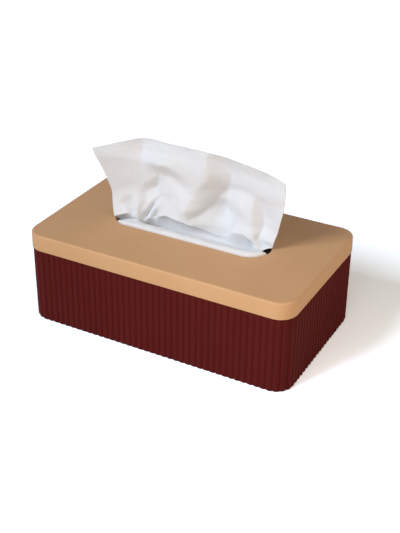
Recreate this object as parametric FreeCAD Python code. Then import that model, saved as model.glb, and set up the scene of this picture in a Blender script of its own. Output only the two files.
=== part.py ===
"""Rectangular tissue box: a fluted open case, a lift-off lid with a slot, foot pads and tissues.

Frame: millimetres, +Z up, +X along the box, the front faces -Y. The origin is on the table,
under the middle of the box. Each function returns the solid of one sub-part, where it sits
with the lid closed, and the end of the file writes every sub-part to its own STEP file.
"""

import FreeCAD
import Part

import math
import os

# Overall sizes, measured over the lid
LENGTH = 240.0
DEPTH = 138.0
HEIGHT = 81.5

# Lid: a shallow moulded cap, drawn in a little towards its top
LID_HEIGHT = 14.5
LID_CORNER_RADIUS = 15.0
LID_DRAFT_DEG = 1.0
LID_EDGE_ROUND = 1.7
LID_PLATE = 2.4
LID_SKIRT = 2.0
LID_FOOT_CHAMFER = 0.4
LID_INNER_CHAMFER = 1.0

# Slot in the lid, with a collar hanging under its edge
SLOT_LENGTH = 142.0
SLOT_WIDTH = 35.0
SLOT_EDGE_CHAMFER = 0.8
COLLAR_WALL = 1.6
COLLAR_DROP = 3.0

# Upright ribs inside the lid's skirt, which centre the lid on the neck of the case
RIB_RADIUS = 1.0
RIB_CLEARANCE = 0.3
RIB_LEAD_IN = 1.5
RIB_SPACING = 64.0
RIBS_ON_LONG_SIDE = 3
RIBS_ON_SHORT_SIDE = 2

# Case: half-round flutes all the way round, and a plain neck that the lid drops over
CREST_INSET = 0.3
CASE_CORNER_RADIUS = 15.5
FLUTE_PITCH = 5.6
FLUTE_DEPTH = 1.3
CASE_FLOOR = 2.6
CAVITY_FLOOR_CHAMFER = 2.0
NECK_HEIGHT = 9.0
NECK_WALL = 1.8
NECK_CLEARANCE = 0.8
NECK_LEAD_IN = 0.6

# Underside: a sunk panel with four round bosses, each holding a foot pad
PANEL_SINK = 0.8
PANEL_MARGIN = 6.0
PAD_DIAMETER = 13.0
PAD_THICKNESS = 1.6
PAD_PROUD = 0.6
PAD_SEAT_CLEARANCE = 0.15
PAD_BOSS_WALL = 1.8
PAD_SETBACK = 17.0

# Stack of folded tissues left in the case, and the room around it
STACK_END_ROOM = 20.0
STACK_SIDE_ROOM = 15.5
STACK_HEAD_ROOM = 24.0
STACK_EDGE_ROUND = 4.0

# Top tissue, drawn up through the slot: a folded tail, a roll along its front, and a tall fan
TAIL_END_CLEARANCE = 6.0
TAIL_FRONT_CLEARANCE = 3.0
TAIL_THICKNESS = 20.0
TAIL_CORNER_RADIUS = 8.0
TAIL_TOP_BELOW_LID = 4.0
TAIL_ABOVE_STACK = 0.5
ROLL_RADIUS = 4.5
FAN_RISE = 74.0
FAN_THICKNESS = 5.0
FAN_END_CLEARANCE = 4.0
FAN_LEFT_OVERHANG = 16.0
FAN_RIGHT_OVERHANG = 11.0
FAN_CORNER_DROP = 9.0
FAN_RIGHT_BULGE = 4.0
FAN_FLAP_WIDTH = 36.0
FAN_FLAP_FORWARD = 12.0
FAN_BACK_BOW = 3.0

# Levels that follow from the sizes above
LID_BOTTOM = HEIGHT - LID_HEIGHT
PLATE_UNDERSIDE = HEIGHT - LID_PLATE
CASE_BOTTOM = PAD_PROUD
FLOOR_TOP = CASE_BOTTOM + CASE_FLOOR
NECK_TOP = LID_BOTTOM + NECK_HEIGHT
STACK_TOP = PLATE_UNDERSIDE - STACK_HEAD_ROOM
TAIL_TOP = HEIGHT - TAIL_TOP_BELOW_LID

# Cutting solids run this far past the faces that they cut
OVERCUT = 1.0
UP = FreeCAD.Vector(0, 0, 1)


class Outline:
    """A rectangle with rounded corners, centred on the Z axis."""

    def __init__(self, half_x, half_y, radius):
        self.half_x = half_x
        self.half_y = half_y
        self.radius = radius

    def inset(self, distance):
        """The parallel outline that lies this far inside, or outside if it is negative."""
        return Outline(self.half_x - distance, self.half_y - distance, self.radius - distance)

    def stretches(self):
        """The corners and straight sides, counter-clockwise, as (length, place).

        The first is the front right corner. place(distance) gives the point that far
        along the stretch, and the outward direction there.
        """
        flat_x = self.half_x - self.radius
        flat_y = self.half_y - self.radius
        corners = [
            (FreeCAD.Vector(flat_x, -flat_y, 0), 2 * flat_y),
            (FreeCAD.Vector(flat_x, flat_y, 0), 2 * flat_x),
            (FreeCAD.Vector(-flat_x, flat_y, 0), 2 * flat_y),
            (FreeCAD.Vector(-flat_x, -flat_y, 0), 2 * flat_x),
        ]
        found = []
        for turn, (centre, side) in enumerate(corners):
            start = math.radians(90 * turn - 90)
            end = start + math.pi / 2
            found.append((self.radius * math.pi / 2, self._corner(centre, start)))
            if side > 1e-6:
                found.append((side, self._side(centre, end)))
        return found

    def _corner(self, centre, start):
        """Places on a corner's arc, which starts at this angle about its centre."""

        def place(distance):
            angle = start + distance / self.radius
            out = FreeCAD.Vector(math.cos(angle), math.sin(angle), 0)
            return centre + out * self.radius, out

        return place

    def _side(self, centre, facing):
        """Places on the straight side that follows a corner and faces this way."""
        out = FreeCAD.Vector(math.cos(facing), math.sin(facing), 0)

        def place(distance):
            return centre + out * self.radius + UP.cross(out) * distance, out

        return place

    def perimeter(self):
        """The length once round the outline."""
        return sum(length for length, _ in self.stretches())

    def at(self, distance):
        """The point this far round from the middle of the front, and its outward direction."""
        stretches = self.stretches()
        to_go = (distance + self.perimeter() - (self.half_x - self.radius)) % self.perimeter()
        for length, place in stretches:
            if to_go <= length:
                return place(to_go)
            to_go -= length
        return place(length)

    def wire(self, z):
        """The outline as a closed wire at this height."""
        edges = []
        for length, place in self.stretches():
            start, middle, end = (place(length * share)[0] for share in (0, 0.5, 1))
            if (middle - (start + end) / 2).Length < 1e-7:
                edges.append(Part.LineSegment(start, end).toShape())
            else:
                edges.append(Part.Arc(start, middle, end).toShape())
        return Part.Wire(edges).translated(UP * z)

    def block(self, low, high):
        """The upright solid with this outline between two heights."""
        return Part.Face(self.wire(low)).extrude(UP * (high - low))

    def drafted_block(self, low, high, inset_low, inset_high):
        """The solid between two heights whose ends are inset by two distances."""
        ends = [self.inset(inset_low).wire(low), self.inset(inset_high).wire(high)]
        return Part.makeLoft(ends, True, True)


LID_OUTLINE = Outline(LENGTH / 2, DEPTH / 2, LID_CORNER_RADIUS)
LID_INNER = LID_OUTLINE.inset(LID_SKIRT)
SLOT = Outline(SLOT_LENGTH / 2, SLOT_WIDTH / 2, SLOT_WIDTH / 2)
CREST = Outline(LENGTH / 2 - CREST_INSET, DEPTH / 2 - CREST_INSET, CASE_CORNER_RADIUS)
VALLEY = CREST.inset(FLUTE_DEPTH)
NECK = LID_INNER.inset(NECK_CLEARANCE)
CAVITY = NECK.inset(NECK_WALL)
PANEL = VALLEY.inset(PANEL_MARGIN)


def level_edges(shape, z, within=None):
    """The edges of a shape that lie flat at this height, within an outline if one is given."""
    found = []
    for edge in shape.Edges:
        box = edge.BoundBox
        level = abs(box.ZMin - z) < 1e-4 and abs(box.ZMax - z) < 1e-4
        reach_x = max(abs(box.XMin), abs(box.XMax))
        reach_y = max(abs(box.YMin), abs(box.YMax))
        if level and (within is None or (reach_x < within.half_x and reach_y < within.half_y)):
            found.append(edge)
    return found


def foot_places():
    """The four foot pads: name to the point under each one's centre."""
    x = LENGTH / 2 - PAD_SETBACK
    y = DEPTH / 2 - PAD_SETBACK
    return {
        "front_left": FreeCAD.Vector(-x, -y, 0),
        "front_right": FreeCAD.Vector(x, -y, 0),
        "back_left": FreeCAD.Vector(-x, y, 0),
        "back_right": FreeCAD.Vector(x, y, 0),
    }


def fluted_face(z):
    """The case's section: one convex arc per flute, with a sharp valley between neighbours.

    The number of flutes is even, so a crest stands in the middle of the front and back.
    """
    count = 2 * round(CREST.perimeter() / FLUTE_PITCH / 2)
    step = VALLEY.perimeter() / count
    edges = []
    for index in range(count):
        start = VALLEY.at((index - 0.5) * step)[0]
        end = VALLEY.at((index + 0.5) * step)[0]
        middle, out = VALLEY.at(index * step)
        edges.append(Part.Arc(start, middle + out * FLUTE_DEPTH, end).toShape())
    return Part.Face(Part.Wire(edges).translated(UP * z))


def case_cavity():
    """The hollow of the case, with a slope where its walls meet the floor."""
    hollow = CAVITY.block(FLOOR_TOP, NECK_TOP + OVERCUT)
    return hollow.makeChamfer(CAVITY_FLOOR_CHAMFER, level_edges(hollow, FLOOR_TOP))


def underside_cuts():
    """The sunk panel around the foot bosses, and the pocket in each boss."""
    pocket_radius = PAD_DIAMETER / 2 + PAD_SEAT_CLEARANCE
    cuts = PANEL.block(CASE_BOTTOM - OVERCUT, CASE_BOTTOM + PANEL_SINK)
    for place in foot_places().values():
        boss = Part.makeCylinder(pocket_radius + PAD_BOSS_WALL, HEIGHT, place - UP * OVERCUT)
        pocket = Part.makeCylinder(pocket_radius, PAD_THICKNESS, place)
        cuts = cuts.cut(boss).fuse(pocket)
    return cuts


def fluted_case():
    """The open case: fluted wall, neck and floor in one moulding."""
    wall = fluted_face(CASE_BOTTOM).extrude(UP * (LID_BOTTOM - CASE_BOTTOM))
    neck = NECK.block(LID_BOTTOM - OVERCUT, NECK_TOP)
    case = wall.fuse(neck.makeChamfer(NECK_LEAD_IN, level_edges(neck, NECK_TOP)))
    return case.cut(case_cavity()).cut(underside_cuts()).removeSplitter()


def centring_ribs():
    """Half-round ribs that stand a little proud of the skirt's inner face."""
    proud = NECK_CLEARANCE - RIB_CLEARANCE
    across = LID_INNER.half_x + RIB_RADIUS - proud
    deep = LID_INNER.half_y + RIB_RADIUS - proud
    places = []
    for index in range(RIBS_ON_LONG_SIDE):
        x = (index - (RIBS_ON_LONG_SIDE - 1) / 2) * RIB_SPACING
        places += [(x, -deep), (x, deep)]
    for index in range(RIBS_ON_SHORT_SIDE):
        y = (index - (RIBS_ON_SHORT_SIDE - 1) / 2) * RIB_SPACING
        places += [(-across, y), (across, y)]
    low = LID_BOTTOM + RIB_LEAD_IN
    tall = PLATE_UNDERSIDE - low
    return [Part.makeCylinder(RIB_RADIUS, tall, FreeCAD.Vector(x, y, low)) for x, y in places]


def lid():
    """The lid: drafted skirt, flat top with its slot, the slot's collar and centring ribs."""
    drawn_in = LID_HEIGHT * math.tan(math.radians(LID_DRAFT_DEG))
    shell = LID_OUTLINE.drafted_block(LID_BOTTOM, HEIGHT, 0, drawn_in)
    shell = shell.makeFillet(LID_EDGE_ROUND, level_edges(shell, HEIGHT))
    shell = shell.makeChamfer(LID_FOOT_CHAMFER, level_edges(shell, LID_BOTTOM))
    hollow = LID_INNER.block(LID_BOTTOM - OVERCUT, PLATE_UNDERSIDE)
    hollow = hollow.makeChamfer(LID_INNER_CHAMFER, level_edges(hollow, PLATE_UNDERSIDE))
    collar_outline = SLOT.inset(-COLLAR_WALL)
    collar = collar_outline.block(PLATE_UNDERSIDE - COLLAR_DROP, HEIGHT - LID_PLATE / 2)
    shell = shell.cut(hollow).fuse([collar, *centring_ribs()])
    shell = shell.cut(SLOT.block(LID_BOTTOM, HEIGHT + OVERCUT)).removeSplitter()
    return shell.makeChamfer(SLOT_EDGE_CHAMFER, level_edges(shell, HEIGHT, collar_outline))


def foot_pad(place):
    """A round non-slip pad, seated in its pocket and standing a little proud of the case."""
    return Part.makeCylinder(PAD_DIAMETER / 2, PAD_THICKNESS, place)


def tissue_stack():
    """The folded tissues left in the case, as one soft block."""
    half_x = CAVITY.half_x - STACK_END_ROOM
    half_y = CAVITY.half_y - STACK_SIDE_ROOM
    corner = FreeCAD.Vector(-half_x, -half_y, FLOOR_TOP)
    block = Part.makeBox(2 * half_x, 2 * half_y, STACK_TOP - FLOOR_TOP, corner)
    return block.makeFillet(STACK_EDGE_ROUND, level_edges(block, STACK_TOP))


def tissue_tail():
    """The folded lower part of the top tissue, in the slot's own outline and over the stack."""
    front = -SLOT.half_y + TAIL_FRONT_CLEARANCE
    half_x = SLOT.half_x - TAIL_END_CLEARANCE
    low = STACK_TOP + TAIL_ABOVE_STACK
    outline = Outline(half_x, TAIL_THICKNESS / 2, TAIL_CORNER_RADIUS)
    tail = outline.block(low, TAIL_TOP).translated(FreeCAD.Vector(0, front + TAIL_THICKNESS / 2, 0))
    half_roll = half_x - TAIL_CORNER_RADIUS
    start = FreeCAD.Vector(-half_roll, front + ROLL_RADIUS, TAIL_TOP)
    return tail.fuse(Part.makeCylinder(ROLL_RADIUS, 2 * half_roll, start, FreeCAD.Vector(1, 0, 0)))


def fan_front():
    """The fan's shape seen from the front, as a face in the XZ plane.

    Its ends leave the slot and spread over the lid, the right one in a bulging curve,
    and its top edge is one long low arc.
    """
    corner_z = HEIGHT + FAN_RISE - FAN_CORNER_DROP
    half_foot = SLOT.half_x - FAN_END_CLEARANCE
    left = FreeCAD.Vector(-SLOT.half_x - FAN_LEFT_OVERHANG, 0, corner_z)
    right = FreeCAD.Vector(SLOT.half_x + FAN_RIGHT_OVERHANG, 0, corner_z)
    crown = FreeCAD.Vector((left.x + right.x) / 2, 0, HEIGHT + FAN_RISE)
    left_lip = FreeCAD.Vector(-half_foot, 0, HEIGHT)
    right_lip = FreeCAD.Vector(half_foot, 0, HEIGHT)
    left_foot = FreeCAD.Vector(-half_foot, 0, TAIL_TOP - OVERCUT)
    right_foot = FreeCAD.Vector(half_foot, 0, TAIL_TOP - OVERCUT)
    bulge = (right_lip + right) / 2 + FreeCAD.Vector(FAN_RIGHT_BULGE, 0, 0)
    edges = [
        Part.LineSegment(left_foot, right_foot),
        Part.LineSegment(right_foot, right_lip),
        Part.Arc(right_lip, bulge, right),
        Part.Arc(right, crown, left),
        Part.LineSegment(left, left_lip),
        Part.LineSegment(left_lip, left_foot),
    ]
    return Part.Face(Part.Wire([edge.toShape() for edge in edges]))


def fan_plan(back_y):
    """The fan's shape seen from above, as a face: a thin band whose left flap turns forward."""
    left_x = -SLOT.half_x - FAN_LEFT_OVERHANG - OVERCUT
    right_x = SLOT.half_x + FAN_RIGHT_OVERHANG + OVERCUT
    bend_x = left_x + FAN_FLAP_WIDTH
    line = [
        FreeCAD.Vector(right_x, back_y, 0),
        FreeCAD.Vector((bend_x + right_x) / 2, back_y + FAN_BACK_BOW, 0),
        FreeCAD.Vector(bend_x, back_y, 0),
        FreeCAD.Vector((left_x + bend_x) / 2, back_y - FAN_FLAP_FORWARD * 0.4, 0),
        FreeCAD.Vector(left_x, back_y - FAN_FLAP_FORWARD, 0),
    ]
    deep = FreeCAD.Vector(0, FAN_THICKNESS, 0)
    front = [point - deep for point in line]
    edges = [
        Part.Arc(*line[:3]),
        Part.Arc(*line[2:]),
        Part.LineSegment(line[4], front[4]),
        Part.Arc(front[4], front[3], front[2]),
        Part.Arc(front[2], front[1], front[0]),
        Part.LineSegment(front[0], line[0]),
    ]
    return Part.Face(Part.Wire([edge.toShape() for edge in edges]))


def popup_tissue():
    """The top tissue as one soft solid: its tail with the front roll, and the fan behind it."""
    tail_back = -SLOT.half_y + TAIL_FRONT_CLEARANCE + TAIL_THICKNESS
    sweep = FreeCAD.Vector(0, 2 * DEPTH, 0)
    front_view = fan_front().translated(sweep * -0.5).extrude(sweep)
    top_view = fan_plan(tail_back - FAN_BACK_BOW).extrude(UP * (HEIGHT + FAN_RISE + OVERCUT))
    return front_view.common(top_view).fuse(tissue_tail()).removeSplitter()


def sub_parts():
    """Every sub-part: its name and its solid."""
    made = {
        "fluted_case": fluted_case(),
        "lid": lid(),
        "tissue_stack": tissue_stack(),
        "popup_tissue": popup_tissue(),
    }
    for name, place in foot_places().items():
        made["foot_pad_" + name] = foot_pad(place)
    return made


os.makedirs("parts", exist_ok=True)
for name, shape in sub_parts().items():
    shape.exportStep(os.path.join("parts", name + ".step"))
    size = shape.BoundBox
    print(
        f"{name}: {len(shape.Solids)} solid, valid {shape.isValid()}, {shape.Volume / 1000:.1f} cm3,",
        f"{size.XLength:.2f} x {size.YLength:.2f} x {size.ZLength:.2f} mm, z from {size.ZMin:.2f}",
    )
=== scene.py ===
"""Looks of a fluted tissue box: moulded case, smooth lid, foot pads and its paper tissues.

All sizes in this file are millimetres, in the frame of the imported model: X along the box,
-Y out of its front, Z up from the table. Shells.make turns them into metres.
"""

import logging
import math
from dataclasses import dataclass
from enum import Enum

import bpy
import numpy as np
from mathutils import Matrix, Vector


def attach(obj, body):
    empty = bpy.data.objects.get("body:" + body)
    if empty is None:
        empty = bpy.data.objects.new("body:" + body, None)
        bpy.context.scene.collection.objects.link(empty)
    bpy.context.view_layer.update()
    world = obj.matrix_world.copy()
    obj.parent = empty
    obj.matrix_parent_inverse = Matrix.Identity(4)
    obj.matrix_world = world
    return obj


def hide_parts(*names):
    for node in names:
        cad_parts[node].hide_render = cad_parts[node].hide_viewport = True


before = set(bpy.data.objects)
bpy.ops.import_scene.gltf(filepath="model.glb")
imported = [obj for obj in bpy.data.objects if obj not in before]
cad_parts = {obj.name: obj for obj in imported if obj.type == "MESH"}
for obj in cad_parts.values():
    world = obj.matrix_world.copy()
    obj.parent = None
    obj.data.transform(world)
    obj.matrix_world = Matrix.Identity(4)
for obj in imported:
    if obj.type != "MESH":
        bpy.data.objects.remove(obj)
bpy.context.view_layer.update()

logging.basicConfig(level=logging.INFO, format="%(message)s")
log = logging.getLogger("tissue_box")

MM = 0.001
# A loop this far from a rounded edge keeps the wall or face beside it flat
HOLD = 0.4
CHAMFER = 0.3


# ---- outlines and curves


@dataclass(frozen=True)
class Outline:
    """A rectangle with rounded corners, centred on the Z axis and seen from above.

    A radius of half the depth makes a slot with round ends.
    """

    half_x: float
    half_y: float
    radius: float

    def inset(self, distance: float) -> "Outline":
        """The parallel outline that lies this far inside."""
        return Outline(self.half_x - distance, self.half_y - distance, self.radius - distance)

    def perimeter(self) -> float:
        """The length once round the outline."""
        return 4 * (self.half_x + self.half_y - 2 * self.radius) + 2 * math.pi * self.radius

    def at(self, share: np.ndarray) -> tuple[np.ndarray, np.ndarray]:
        """Points round the outline, counter-clockwise from the middle of the front.

        On each stretch, straight or round, the outward direction turns evenly from one
        angle to the next while its centre moves along a straight line. A point is the
        centre plus the radius times the outward direction.

        Args:
            share: how far round each point lies, where 1 is once round.

        Returns:
            The points and the outward directions, each an array of (x, y) rows.
        """
        flat_x = self.half_x - self.radius
        flat_y = self.half_y - self.radius
        turn = self.radius * math.pi / 2
        lengths = [flat_x, turn, 2 * flat_y, turn, 2 * flat_x, turn, 2 * flat_y, turn, flat_x]
        knots = np.concatenate([[0.0], np.cumsum(lengths)])
        angles = np.radians([-90, -90, 0, 0, 90, 90, 180, 180, 270, 270])
        centre_x = np.array([0, 1, 1, 1, 1, -1, -1, -1, -1, 0]) * flat_x
        centre_y = np.array([-1, -1, -1, 1, 1, 1, 1, -1, -1, -1]) * flat_y
        along = np.mod(share, 1.0) * self.perimeter()
        angle = np.interp(along, knots, angles)
        out = np.stack([np.cos(angle), np.sin(angle)], axis=-1)
        centre = np.stack([np.interp(along, knots, centre_x), np.interp(along, knots, centre_y)], axis=-1)
        return centre + self.radius * out, out


Points = tuple[tuple[float, ...], ...]
Section = tuple[Outline, float | np.ndarray, float]


def loops(share: np.ndarray, *sections: Section) -> np.ndarray:
    """Level loops of points: for each section its outline, how far inside it the loop lies, and its height."""
    rows = [(*outline.at(share), np.reshape(inset, (-1, 1)), z) for outline, inset, z in sections]
    return np.stack([np.column_stack([at - inset * out, np.full(len(share), z)]) for at, out, inset, z in rows])


def ease(value: np.ndarray, low: float, high: float) -> np.ndarray:
    """0 below low and 1 above high, with a smooth turn between: 3t^2 - 2t^3."""
    t = np.clip((value - low) / (high - low), 0.0, 1.0)
    return t * t * (3 - 2 * t)


def through(points: Points, share: np.ndarray) -> np.ndarray:
    """Points on a smooth curve that passes through the given ones.

    Between two neighbours p and q it is the cubic Hermite blend
    (2t^3-3t^2+1) p + (t^3-2t^2+t) m + (3t^2-2t^3) q + (t^3-t^2) n, where m and n are the
    slopes there times the gap between them.

    Args:
        points: the points to pass through, one row each.
        share: how far along the curve each wanted point is, from 0 to 1, by chord length.

    Returns:
        One row per wanted point.
    """
    points = np.array(points, float)
    chords = np.linalg.norm(np.diff(points, axis=0), axis=1)
    knots = np.concatenate([[0.0], np.cumsum(chords)]) / chords.sum()
    slope = np.gradient(points, knots, axis=0)
    first = np.clip(np.searchsorted(knots, share, side="right") - 1, 0, len(knots) - 2)
    gap = (knots[first + 1] - knots[first])[:, None]
    t = (share - knots[first])[:, None] / gap
    start = (2 * t**3 - 3 * t**2 + 1) * points[first] + (t**3 - 2 * t**2 + t) * gap * slope[first]
    end = (3 * t**2 - 2 * t**3) * points[first + 1] + (t**3 - t**2) * gap * slope[first + 1]
    return start + end


def spline_rows(control: np.ndarray, count: int) -> np.ndarray:
    """Carries a uniform cubic B-spline down the first axis of a grid of control points.

    The end rows are repeated, so the surface starts and ends on them. Between four
    neighbouring rows a, b, c, d the point at share s is
    ((1-s)^3 a + (3s^3-6s^2+4) b + (-3s^3+3s^2+3s+1) c + s^3 d) / 6.

    Args:
        control: control points, one row per station.
        count: how many rows to give back.

    Returns:
        The rows of points along the spline.
    """
    padded = np.concatenate([control[:1]] * 2 + [control] + [control[-1:]] * 2)
    spans = len(padded) - 3
    place = np.linspace(0, spans, count)
    start = np.minimum(place.astype(int), spans - 1)
    s = (place - start).reshape(-1, *[1] * (control.ndim - 1))
    weights = [(1 - s) ** 3, 3 * s**3 - 6 * s**2 + 4, -3 * s**3 + 3 * s**2 + 3 * s + 1, s**3]
    return sum(weight * padded[start + step] for step, weight in enumerate(weights)) / 6


def spread(values: tuple[float, ...], along: np.ndarray) -> np.ndarray:
    """A smooth run of values evenly spread over 0 to 1, and never below 0.01.

    Between values b and c, with a before and d after them, it is the Catmull-Rom cubic
    b + ((c-a) t + (2a-5b+4c-d) t^2 + (3b-a-3c+d) t^3) / 2.

    Args:
        values: one or more values, the first at 0 and the last at 1.
        along: where they are wanted.

    Returns:
        The value at each place.
    """
    padded = np.array(values[:1] + values + values[-1:] * 2, float)
    place = np.clip(along, 0, 1) * (len(values) - 1)
    start = place.astype(int)
    t = place - start
    a, b, c, d = (padded[start + step] for step in range(4))
    value = b + 0.5 * ((c - a) * t + (2 * a - 5 * b + 4 * c - d) * t**2 + (3 * b - a - 3 * c + d) * t**3)
    return np.maximum(value, 0.01)


def ripples(points: np.ndarray, wavelength: float, waves: int, seed: int) -> np.ndarray:
    """A smooth random field of height about 1: a sum of waves in random directions.

    Args:
        points: an array of points, of any shape that ends in the number of axes.
        wavelength: about how far apart the crests lie.
        waves: how many waves are added up.
        seed: picks the directions, lengths and phases.

    Returns:
        The field's value at each point.
    """
    chance = np.random.default_rng(seed)
    direction = chance.normal(size=(waves, points.shape[-1]))
    direction /= np.linalg.norm(direction, axis=1, keepdims=True)
    length = wavelength * chance.uniform(0.6, 1.6, size=(waves, 1))
    phase = chance.uniform(0, 2 * math.pi, size=waves)
    return np.cos(points @ (direction * 2 * math.pi / length).T + phase).sum(axis=-1) / math.sqrt(waves)


# ---- meshes


class Shells:
    """Gathers grids of points into the points and faces of one mesh."""

    def __init__(self) -> None:
        """Starts with nothing."""
        self.points: list[np.ndarray] = []
        self.faces: list[list[int]] = []
        self.size = 0

    def add(self, grid: np.ndarray, wrap_rows: bool = False, wrap_columns: bool = True, caps: bool = False) -> None:
        """Adds a grid whose faces point out when its rows go up and its columns go round.

        Args:
            grid: points, as rows by columns by 3. Columns run counter-clockwise from above.
            wrap_rows: True if the last row joins the first.
            wrap_columns: True if the last point of each row joins its first.
            caps: True to close the first and last rows with a face each.
        """
        index = np.arange(grid[..., 0].size).reshape(grid.shape[:2]) + self.size
        joined = np.pad(index, ((0, int(wrap_rows)), (0, int(wrap_columns))), mode="wrap")
        corners = [joined[:-1, :-1], joined[:-1, 1:], joined[1:, 1:], joined[1:, :-1]]
        self.faces += np.stack(corners, axis=-1).reshape(-1, 4).tolist()
        if caps:
            self.faces += [index[0, ::-1].tolist(), index[-1].tolist()]
        self.points.append(grid.reshape(-1, 3))
        self.size += index.size

    def make(self, name: str, sharp_deg: float = 40.0, flat: np.ndarray | None = None) -> bpy.types.Object:
        """Makes the object, at the origin, with its place in its mesh.

        Args:
            name: the piece's name.
            sharp_deg: edges that fold by more than this are drawn sharp.
            flat: each point's place on the flat sheet in millimetres, for a sheet.

        Returns:
            The new object.
        """
        mesh = bpy.data.meshes.new(name)
        mesh.from_pydata((np.concatenate(self.points) * MM).tolist(), [], self.faces)
        if flat is not None:
            corners = flat.reshape(-1, 2)[np.concatenate(self.faces)] * MM
            mesh.uv_layers.new(name="Sheet").data.foreach_set("uv", corners.astype(np.float32).ravel())
        mesh.shade_smooth()
        mesh.set_sharp_from_angle(angle=math.radians(sharp_deg))
        mesh.update()
        piece = bpy.data.objects.new(name, mesh)
        bpy.context.scene.collection.objects.link(piece)
        return piece


def lathe(profile: np.ndarray, centre: tuple[float, float], count: int) -> np.ndarray:
    """Carries (radius, z) rows round an upright axis at (x, y). Rows that go up give faces that point out."""
    ring = complex(*centre) + profile[:, :1] * np.exp(2j * math.pi * np.arange(count) / count)
    return np.stack(np.broadcast_arrays(ring.real, ring.imag, profile[:, 1:]), axis=-1)


def rounded_edge(radius: float, count: int) -> np.ndarray:
    """A quarter round as (inset, rise) rows, from an upright wall to a level face above it."""
    angle = np.linspace(0, math.pi / 2, count)
    return radius * np.column_stack([1 - np.cos(angle), np.sin(angle)])


def rounded(end: Section, radius: float, count: int, inwards: int = 1, up: int = 1) -> list[Section]:
    """Sections of a quarter round from a wall's end to a level face: -1 turns it outwards, or down."""
    outline, inset, z = end
    return [(outline, inset + inwards * aside, z + up * rise) for aside, rise in rounded_edge(radius, count)]


def fit_out(piece: bpy.types.Object, body: str, slot: str, material: bpy.types.Material, *nodes: str) -> None:
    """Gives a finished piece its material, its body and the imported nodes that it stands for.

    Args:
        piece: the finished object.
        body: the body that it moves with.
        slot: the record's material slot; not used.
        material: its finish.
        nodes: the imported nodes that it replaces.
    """
    piece.data.materials.append(material)
    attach(piece, body)
    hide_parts(*nodes)
    log.info("%s: %d faces, moves with %s", piece.name, len(piece.data.polygons), body)


# ---- finishes


WHITE = "FFFFFF"


def linear(colour: str) -> tuple[float, float, float, float]:
    """An sRGB hex colour such as C08A5A as linear red, green, blue and alpha."""
    parts = [int(colour[i : i + 2], 16) / 255 for i in (0, 2, 4)]
    return (*(p / 12.92 if p <= 0.04045 else ((p + 0.055) / 1.055) ** 2.4 for p in parts), 1.0)


def per_metre(spacing: float) -> float:
    """The scale of a texture whose features lie this many millimetres apart."""
    return 1 / (spacing * MM)


def add_node(tree: bpy.types.NodeTree, kind: str, inputs: dict | None = None, **settings: object) -> bpy.types.Node:
    """Adds a shader node with its settings and links.

    Args:
        tree: the node tree of a material or the world.
        kind: the node's type without its ShaderNode prefix, such as "TexNoise".
        inputs: each input's name or number to its value, or to the output or node that feeds it.
        settings: the node's own properties.

    Returns:
        The new node.
    """
    node = tree.nodes.new("ShaderNode" + kind)
    for key, value in settings.items():
        setattr(node, key, value)
    for key, value in (inputs or {}).items():
        if isinstance(value, bpy.types.Node):
            value = value.outputs[0]
        if isinstance(value, bpy.types.NodeSocket):
            tree.links.new(value, node.inputs[key])
        else:
            node.inputs[key].default_value = value
    return node


def new_tree(name: str) -> tuple[bpy.types.Material, bpy.types.NodeTree]:
    """Makes an empty node material.

    Args:
        name: the material's name.

    Returns:
        The material and its tree.
    """
    material = bpy.data.materials.new(name)
    material.use_nodes = True
    material.node_tree.nodes.clear()
    return material, material.node_tree


@dataclass(frozen=True)
class MouldedPolymer:
    """Plastic or rubber from a finely spark-eroded injection mould.

    It gives the eye an even colour under a satin or dull sheen. A very fine pebbled grain
    breaks the highlights up, and faint clouds show where the melt cooled unevenly.
    """

    name: str
    colour: str
    cloud_colour: str
    roughness: float
    specular: float
    ior: float = 1.53
    roughness_spread: float = 0.04
    cloud_spacing: float = 45.0
    # Real grain is near 0.15 mm; it is drawn at 0.9 mm so that it shows
    grain_spacing: float = 0.9
    grain_depth: float = 0.02

    def make(self) -> bpy.types.Material:
        """Builds the material.

        Returns:
            The material.
        """
        material, tree = new_tree(self.name)
        place = add_node(tree, "TexCoord").outputs["Object"]
        lumps = {"Vector": place, "Scale": per_metre(self.cloud_spacing), "Detail": 3.0, "Roughness": 0.55}
        clouds = add_node(tree, "TexNoise", lumps)
        tints = {0: clouds, 6: linear(self.colour), 7: linear(self.cloud_colour)}
        colour = add_node(tree, "Mix", tints, data_type="RGBA").outputs[2]
        least, most = self.roughness - self.roughness_spread, self.roughness + self.roughness_spread
        span = {"Value": clouds, "From Min": 0.3, "From Max": 0.7, "To Min": least, "To Max": most}
        roughness = add_node(tree, "MapRange", span)
        pebbles = {"Vector": place, "Scale": per_metre(self.grain_spacing), "Detail": 2.0, "Roughness": 0.6}
        grain = add_node(tree, "TexNoise", pebbles)
        bump = add_node(tree, "Bump", {"Height": grain, "Strength": 1.0, "Distance": self.grain_depth * MM})
        surface = {"Base Color": colour, "Roughness": roughness, "Normal": bump, "IOR": self.ior}
        shader = add_node(tree, "BsdfPrincipled", {**surface, "Specular IOR Level": self.specular})
        add_node(tree, "OutputMaterial", {"Surface": shader})
        return material


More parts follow.
